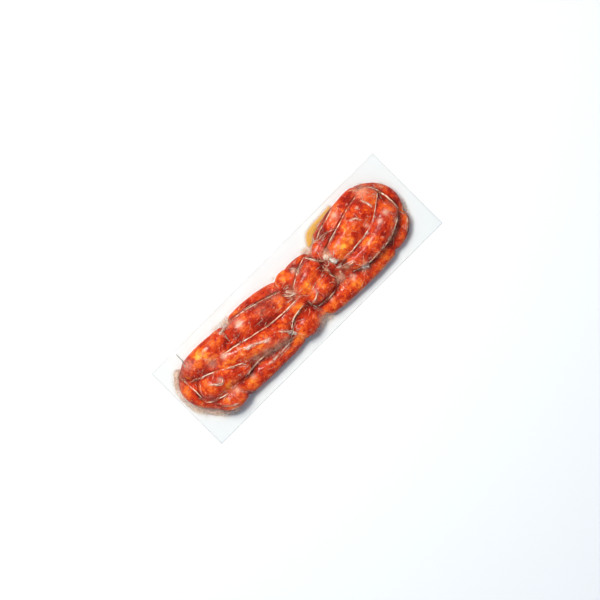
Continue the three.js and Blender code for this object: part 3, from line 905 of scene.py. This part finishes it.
# Twine wound round the tied necks, with its two ends lying beside them, and a stray end under the film's edge.
def makeTwine(material):
    chains = []
    radius = twineLooks["radius"]
    half = neckLooks["steps"] // 2
    for neck in casingNecks.values():
        if not neck["tied"]:
            continue
        line = neckLine(neck)
        middle, way = line[half], line[half + 1] - line[half - 1]
        way = way / np.linalg.norm(way)
        side = np.cross((0, 0, 1), way)
        side = side / np.linalg.norm(side)
        up = np.cross(way, side)
        t = np.linspace(0, 1, 70)
        turn = 2 * np.pi * twineLooks["turns"] * t - 0.6
        away = neck["radius"] * 0.92 + 0.3 * radius
        loop = middle + np.outer((t - 0.5) * 2.6 * radius * twineLooks["turns"], way)
        loop = loop + away * (np.outer(np.cos(turn), side) + np.outer(np.sin(turn), up))
        chains.append({"points": loop, "thick": radius * mm, "stained": 1.0})
        for sign in (-1, 1):
            run = np.linspace(0, 1, 22)
            plan = middle[:2] + np.outer(away + run * twineLooks["tail"], sign * side[:2])
            plan = plan + np.outer(1.6 * np.sin(4 * run + sign), way[:2])
            tail = np.column_stack([plan, gridAt(plainFilm, plan[:, 0], plan[:, 1]) - 0.25])
            chains.append({"points": tail, "thick": radius * 0.8 * mm, "stained": 1.0})
    line = smoothLine(strayThread)
    height = gridAt(drawnFilm, line[:, 0], line[:, 1]) + 0.3 * radius
    chains.append({"points": np.column_stack([line, height]), "thick": radius * 1.2 * mm, "stained": 0.0})
    tree = twistTree("twistTwine", twineLooks, material)
    return runTree(chainObject("twineTies", chains), tree, twineLooks)


# Materials
def newMaterial(name):
    material = bpy.data.materials.new(name)
    material.use_nodes = True
    material.node_tree.nodes.clear()
    return material, toolsFor(material.node_tree)


def colourRamp(add, source, stops):
    colour = add("ValToRGB", {"Fac": source})
    elements = colour.node.color_ramp.elements
    while len(elements) < len(stops):
        elements.new(0.5)
    for element, (position, tint) in zip(elements, stops):
        element.position = position
        element.color = (*tint, 1)
    return colour


def mixColour(outputsOf, factor, *colours):
    first, second = ((*colour, 1) if isinstance(colour, tuple) else colour for colour in colours)
    return outputsOf("Mix", {0: factor, 6: first, 7: second}, data_type="RGBA")[2]


meatLooks = {
    "tones": [(0.17, (0.25, 0.009, 0.003)), (0.33, (0.47, 0.020, 0.004)), (0.50, (0.67, 0.056, 0.008)),
              (0.72, (0.87, 0.19, 0.020)), (0.98, (0.98, 0.50, 0.05))],      # dark, lean, red, orange and fat
    # deep darkens the meat tone where shade is painted in
    "weights": {"grain": 0.20, "drift": 0.40, "speck": 0.10, "fine": 0.56, "fat": 0.38, "deep": -0.28},
    "suet": (0.95, 0.58, 0.42),
    "grain": 210.0,        # grains to the metre
    "speck": 540.0,
    "roughness": 0.45,
    "glow": 0.3,           # how much light passes through the meat, and how far in metres
    "depth": 0.0025,
}


# Minced meat in its casing: lean grains, orange fat, pale specks of suet and a few painted highlights, darkened by
# painted shade in valleys, beside folds and at listed places.
def meatMaterial():
    material, (outputsOf, add, calc, share) = newMaterial("redMeatInCasing")
    place = outputsOf("TexCoord")["Object"]
    warp = outputsOf("TexNoise", {"Vector": place, "Scale": 210.0, "Detail": 3.0})["Color"]
    centred = add("VectorMath", {0: warp, 1: (0.5, 0.5, 0.5)}, operation="SUBTRACT")
    bent = add("VectorMath", {0: centred, 1: (0.009, 0.009, 0.009), 2: place}, operation="MULTIPLY_ADD")
    grains, specks = (outputsOf("TexVoronoi", {"Vector": bent, "Scale": meatLooks[kind]})["Color"]
                      for kind in ("grain", "speck"))
    speckTone = outputsOf("SeparateColor", {0: specks})
    broad = add("TexNoise", {"Vector": place, "Scale": 58.0, "Detail": 3.0, "Roughness": 0.55})
    fine = add("TexNoise", {"Vector": bent, "Scale": 420.0, "Detail": 4.0})
    parts = {"grain": add("SeparateColor", {0: grains}), "speck": speckTone[0], "fine": fine,
             "drift": add("TexNoise", {"Vector": place, "Scale": 22.0, "Detail": 1.0}),
             "fat": share("fat"), "deep": share("deep")}
    tone = calc("MULTIPLY_ADD", broad, 1.15, -0.75)
    for name, weight in meatLooks["weights"].items():
        tone = calc("MULTIPLY_ADD", parts[name], weight, tone)
    colour = colourRamp(add, tone, meatLooks["tones"])
    few = add("MapRange", {"Value": speckTone[1], "From Min": 0.94, "From Max": 0.99, "To Max": 0.30})
    # pale marks of suet, a few of them painted highlights
    marks = calc("MULTIPLY", share("pale"), calc("MULTIPLY_ADD", fine, 1.6, 0.1))
    suet = calc("MINIMUM", calc("MAXIMUM", few, marks), 0.9)
    bump = add("Bump", {"Height": fine, "Strength": 0.4, "Distance": 0.0006})
    meat = add("BsdfPrincipled", {
        "Base Color": mixColour(outputsOf, suet, colour, meatLooks["suet"]), "Roughness": meatLooks["roughness"],
        "Normal": bump, "Specular IOR Level": 0.03, "Subsurface Weight": meatLooks["glow"],
        "Subsurface Radius": (1.0, 0.12, 0.05), "Subsurface Scale": meatLooks["depth"]})
    outputsOf("OutputMaterial", {"Surface": meat})
    return material


filmLooks = {
    "clear": (0.985, 0.987, 0.985),
    "milky": (0.96, 0.46, 0.24),
    "beige": (0.99, 0.62, 0.40),
    "rim": (0.99, 0.79, 0.60),
    "cream": (0.97, 0.88, 0.76),       # what light keeps where it crosses the film beside the links
    "grey": (0.74, 0.73, 0.70),
    "oil": (0.92, 0.50, 0.03),
    "white": (1.0, 0.93, 0.80),
    "creased": (0.36, 0.10, 0.06),     # painted shade beside a fold: the colour the film lets through there
    "sealed": (0.972, 0.980, 0.974),
    "roughness": 0.2,
    "glow": 0.42,            # how much of the light goes on through milky film
    "mostMirror": 0.035,     # the film's gloss never hides more than this of what lies under it
    "mostMilk": 0.92,
}
# How milky the film is for each of its shares; the milk of folds and white marks stands partly for painted
# highlights.
filmMilk = {"folds": 0.20, "crumple": 0.08, "gap": 0.13, "rim": 0.5, "pale": 0.8, "oil": 0.9, "white": 0.92,
            "flange": 0.03, "edge": 0.45}


# Clear film: see-through, with its own gloss, and milky where it folds, bridges a gap or is sealed; what it lets
# through is darkened beside folds as painted shade, and its white marks are partly painted highlights.
def filmMaterial():
    material, (outputsOf, add, calc, share) = newMaterial("clearFilm")
    cloud = add("TexNoise", {"Vector": outputsOf("TexCoord")["Object"], "Scale": 260.0, "Detail": 3.0})
    shares = {name: share(name) for name in (*filmMilk, "creased")}
    shares["gap"] = add("MapRange", {"Value": shares["gap"], "From Min": 1.5, "From Max": 7.0})

    def most(milk, name):
        return calc("MAXIMUM", milk, calc("MULTIPLY", shares[name], filmMilk[name]))

    def more(milk, name):
        return calc("MULTIPLY_ADD", shares[name], filmMilk[name], milk)

    def tinted(colour, steps):
        for name, tint in steps.items():
            colour = mixColour(outputsOf, shares[name], colour, filmLooks[tint])
        return colour
    milk = most(most(0.0, "folds"), "crumple")
    for name in ("gap", "rim", "pale"):
        milk = more(milk, name)
    milk = calc("MULTIPLY", milk, calc("MULTIPLY_ADD", cloud, 1.3, 0.35))
    # the white marks' milk is partly real creasing and partly painted highlight
    milk = most(most(milk, "oil"), "white")
    milk = calc("MINIMUM", more(more(milk, "flange"), "edge"), filmLooks["mostMilk"])
    overMeat = calc("MAXIMUM", shares["gap"], shares["pale"])
    haze = mixColour(outputsOf, overMeat, filmLooks["milky"], filmLooks["beige"])
    haze = tinted(haze, {"flange": "grey", "rim": "rim", "oil": "oil", "white": "white"})
    # what passes the film is darkened beside folds as painted shade
    passed = tinted(filmLooks["clear"], {"flange": "sealed", "rim": "cream", "creased": "creased"})
    dimple = add("Bump", {"Height": cloud, "Strength": 0.35, "Distance": 0.0006})
    seeThrough = add("BsdfTransparent", {"Color": passed})
    gloss = add("BsdfAnisotropic", {"Roughness": filmLooks["roughness"], "Normal": dimple})
    mirror = calc("MINIMUM", add("Fresnel", {"IOR": 1.33, "Normal": dimple}), filmLooks["mostMirror"])
    clear = add("MixShader", {0: mirror, 1: seeThrough, 2: gloss})
    cloudy = add("BsdfPrincipled", {"Base Color": haze, "Roughness": 0.4, "Normal": dimple,
                                    "Specular IOR Level": 0.3})
    cloudy = add("MixShader", {0: filmLooks["glow"], 1: cloudy, 2: add("BsdfTranslucent", {"Color": haze})})
    outputsOf("OutputMaterial", {"Surface": add("MixShader", {0: milk, 1: clear, 2: cloudy})})
    return material


pleatTints = [(0.34, (0.97, 0.42, 0.22)), (0.50, (1.0, 0.70, 0.47)), (0.66, (1.0, 0.91, 0.74))]


# Film gathered into a pleat, milky by its own share, which stands both for the whitening of doubled film and for a
# painted highlight along the fold.
def pleatMaterial():
    material, (outputsOf, add, calc, share) = newMaterial("gatheredFilm")
    cloud = add("TexNoise", {"Vector": outputsOf("TexCoord")["Object"], "Scale": 330.0, "Detail": 3.0})
    tint = colourRamp(add, cloud, pleatTints)
    milk = calc("MULTIPLY", share("milk"), calc("MULTIPLY_ADD", cloud, 2.6, -0.25))
    milk = calc("MINIMUM", calc("MAXIMUM", milk, 0.03), 0.95)
    seeThrough = add("BsdfTransparent", {"Color": (*filmLooks["clear"], 1)})
    cloudy = add("BsdfPrincipled", {"Base Color": tint, "Roughness": 0.3})
    outputsOf("OutputMaterial", {"Surface": add("MixShader", {0: milk, 1: seeThrough, 2: cloudy})})
    return material


casingTints = [(0.38, (0.40, 0.08, 0.04)), (0.52, (0.66, 0.36, 0.24)), (0.68, (0.82, 0.74, 0.62))]
bareTints = [(0.36, (0.52, 0.36, 0.27)), (0.50, (0.78, 0.70, 0.58)), (0.64, (0.92, 0.90, 0.82))]
twineTints = [(0.40, (0.60, 0.26, 0.14)), (0.60, (0.78, 0.68, 0.52))]


# Gathered casing: pale, a little red where the meat shows through.
def casingMaterial():
    material, (outputsOf, add, calc, share) = newMaterial("gatheredCasing")
    streak = add("TexNoise", {"Vector": outputsOf("TexCoord")["Object"], "Scale": 380.0, "Detail": 3.0})
    tint, bare = (colourRamp(add, streak, tints) for tints in (casingTints, bareTints))
    bump = add("Bump", {"Height": streak, "Strength": 0.6, "Distance": 0.0005})
    skin = add("BsdfPrincipled", {"Base Color": mixColour(outputsOf, share("bare"), tint, bare),
                                  "Roughness": 0.4, "Normal": bump})
    outputsOf("OutputMaterial", {"Surface": skin})
    return material


# Cotton twine, stained by the meat here and there.
def twineMaterial():
    material, (outputsOf, add, calc, share) = newMaterial("cottonTwine")
    place = outputsOf("TexCoord")["Object"]
    stain, fibre = (add("TexNoise", {"Vector": place, "Scale": scale, "Detail": 2.0})
                    for scale in (120.0, 2600.0))
    tint = mixColour(outputsOf, share("stained"), (0.36, 0.36, 0.32), colourRamp(add, stain, twineTints))
    bump = add("Bump", {"Height": fibre, "Strength": 0.5, "Distance": 0.0002})
    cotton = add("BsdfPrincipled", {"Base Color": tint, "Roughness": 0.85, "Normal": bump})
    outputsOf("OutputMaterial", {"Surface": cotton})
    return material


# The object
meat = meatMaterial()
links = makeLinks(meat)
core = makeCore(meat)
addFat(links)
addFat(core)
print("links swept,", len(links.data.polygons), "faces, and pressed meat,", len(core.data.polygons), "faces")
film = makeFilm(filmMaterial())
pleats = makePleats(pleatMaterial())
print("film made,", len(film.data.polygons), "faces, and pleats,", len(pleats.data.polygons), "faces")
necks = makeNecks(casingMaterial())
twine = makeTwine(twineMaterial())
print("casing gathered and tied")
for piece, slotName in ((links, "sausage"), (core, "sausage"), (film, "film"), (pleats, "film"),
                        (necks, "casing"), (twine, "twine")):
    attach(piece, "root")
    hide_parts("vacuum_pack")


# Pale floor, soft light from the back of the pack, and the camera straight above.
stageLooks = {"floor": (0.86, 0.86, 0.86), "world": (0.49, 0.72, 1.0), "horizon": 0.44, "zenith": 0.26}
lamps = {
    "key": {"power": 80, "size": 1.10, "place": (0.0, 1.15, 2.72), "colour": (1.0, 0.96, 0.90), "glints": False},
    "fill": {"power": 8, "size": 1.8, "place": (-1.2, -1.4, 2.6), "colour": (0.9, 0.95, 1.0), "glints": False},
    "glint": {"power": 5, "size": 0.10, "place": (-0.15, 0.45, 1.3), "colour": (1.0, 1.0, 1.0), "glints": True},
}
cameraLooks = {"lens": 135, "sensor": 36, "frameWidth": 0.7317, "aim": (0.00116, -0.00397)}


def makeStage():
    bpy.ops.mesh.primitive_plane_add(size=12)
    floor = bpy.context.object
    floor.name = "paleFloor"
    floor.location = (0, 0, -0.0002)
    material, (outputsOf, add, calc, share) = newMaterial("paleFloor")
    grey = add("BsdfPrincipled", {"Base Color": (*stageLooks["floor"], 1), "Roughness": 0.6,
                                  "Specular IOR Level": 0.2})
    outputsOf("OutputMaterial", {"Surface": grey})
    floor.data.materials.append(material)


# A room that is bright low down and darker overhead.
def makeWorld():
    world = bpy.data.worlds.new("softRoom")
    world.use_nodes = True
    tree = world.node_tree
    outputsOf, add, calc, share = toolsFor(tree)
    up = outputsOf("SeparateXYZ", {0: outputsOf("TexCoord")["Generated"]})["Z"]
    strength = add("MapRange", {"Value": up, "From Min": 0.2, "From Max": 0.9, "To Min": stageLooks["horizon"],
                                "To Max": stageLooks["zenith"]})
    room = tree.nodes["Background"]
    room.inputs["Color"].default_value = (*stageLooks["world"], 1)
    tree.links.new(strength, room.inputs["Strength"])
    bpy.context.scene.world = world


def addSoftLight(name, looks):
    lamp = bpy.data.lights.new(name, "AREA")
    lamp.energy = looks["power"]
    lamp.size = looks["size"]
    lamp.color = looks["colour"]
    holder = bpy.data.objects.new(name, lamp)
    holder.location = looks["place"]
    away = -holder.location
    holder.rotation_mode = "QUATERNION"
    holder.rotation_quaternion = away.to_track_quat("-Z", "Y")
    holder.visible_glossy = looks["glints"]
    bpy.context.scene.collection.objects.link(holder)


def makeCamera():
    data = bpy.data.cameras.new("above")
    data.lens = cameraLooks["lens"]
    data.sensor_width = cameraLooks["sensor"]
    data.clip_end = 50
    holder = bpy.data.objects.new("above", data)
    height = cameraLooks["frameWidth"] * cameraLooks["lens"] / cameraLooks["sensor"]
    holder.location = (*cameraLooks["aim"], height)
    holder.rotation_euler = (0, 0, -math.pi / 4)    # the pack lies corner to corner in the picture
    bpy.context.scene.collection.objects.link(holder)
    bpy.context.scene.camera = holder


makeStage()
makeWorld()
for lampName, lampLooks in lamps.items():
    addSoftLight(lampName, lampLooks)
makeCamera()
bpy.context.scene.view_settings.view_transform = "Standard"
bpy.context.scene.view_settings.look = "None"
bpy.context.scene.view_settings.exposure = 0.0
print("stage set")
